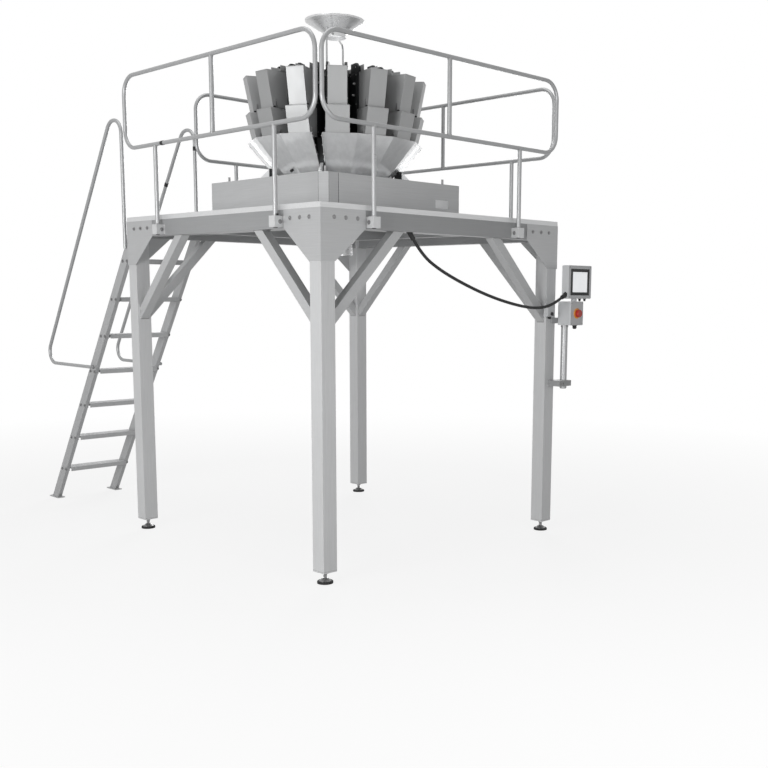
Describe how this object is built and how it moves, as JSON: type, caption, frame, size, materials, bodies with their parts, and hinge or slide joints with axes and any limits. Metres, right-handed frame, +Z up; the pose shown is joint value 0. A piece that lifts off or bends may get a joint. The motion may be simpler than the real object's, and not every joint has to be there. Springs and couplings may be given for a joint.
{
  "type": "multihead weigher on a support platform",
  "caption": "Ring of feeder pans, hoppers and collecting chutes on a box base, carried by a braced steel platform with guard rails, a ladder and an operator screen.",
  "frame": {"origin": "on the floor, under the middle of the outer box", "axes": "+X to the right along the front of the platform, +Y to the back where the ladder is, +Z up"},
  "size_m": [2.414, 3.8416, 3.522],
  "materials": {
    "stainless_frame": "brushed",
    "stainless_deck": "brushed",
    "stainless_tube": "satin",
    "stainless_sheet": "brushed",
    "black_casting": "satin",
    "bright_steel": "satin",
    "foot_rubber": "matte",
    "panel_grey": "satin",
    "screen_glass": "gloss",
    "stop_red": "gloss",
    "gland_black": "matte",
    "cable_black": "satin"
  },
  "bodies": {
    "root": {"back_collecting_chute": "stainless_sheet", "back_guard_rail": "stainless_tube", "base_studs": "bright_steel", "cable_glands": "gland_black", "central_body": "black_casting", "column_feet": "stainless_sheet", "corner_gussets": "stainless_frame", "deck_joists": "stainless_frame", "deck_plate": "stainless_deck", "deck_trimmers": "stainless_frame", "discharge_funnel": "stainless_sheet", "dispersion_cone": "stainless_sheet", "drive_housings": "black_casting", "feeder_pans": "stainless_sheet", "foot_pads": "foot_rubber", "foot_stems": "bright_steel", "front_collecting_chute": "stainless_sheet", "front_guard_rail": "stainless_tube", "guard_post_clamps": "stainless_frame", "infeed_funnel": "stainless_sheet", "infeed_rods": "stainless_tube", "junction_box": "panel_grey", "knee_braces": "stainless_frame", "ladder_handrails": "stainless_tube", "ladder_stringers": "stainless_frame", "ladder_treads": "stainless_deck", "left_collecting_chute": "stainless_sheet", "left_guard_rail": "stainless_tube", "platform_beams": "stainless_frame", "platform_legs": "stainless_frame", "pole_brackets": "stainless_frame", "pool_hopper_gates": "stainless_sheet", "pool_hoppers": "stainless_sheet", "right_collecting_chute": "stainless_sheet", "right_guard_rail": "stainless_tube", "screen_cable": "cable_black", "screen_glass": "screen_glass", "screen_housing": "panel_grey", "screen_pole": "stainless_tube", "stop_button": "stop_red", "support_columns": "black_casting", "switch_box": "panel_grey", "weigh_hopper_gates": "stainless_sheet", "weigh_hoppers": "stainless_sheet", "weigher_base": "stainless_sheet"}
  },
  "joints": []
}
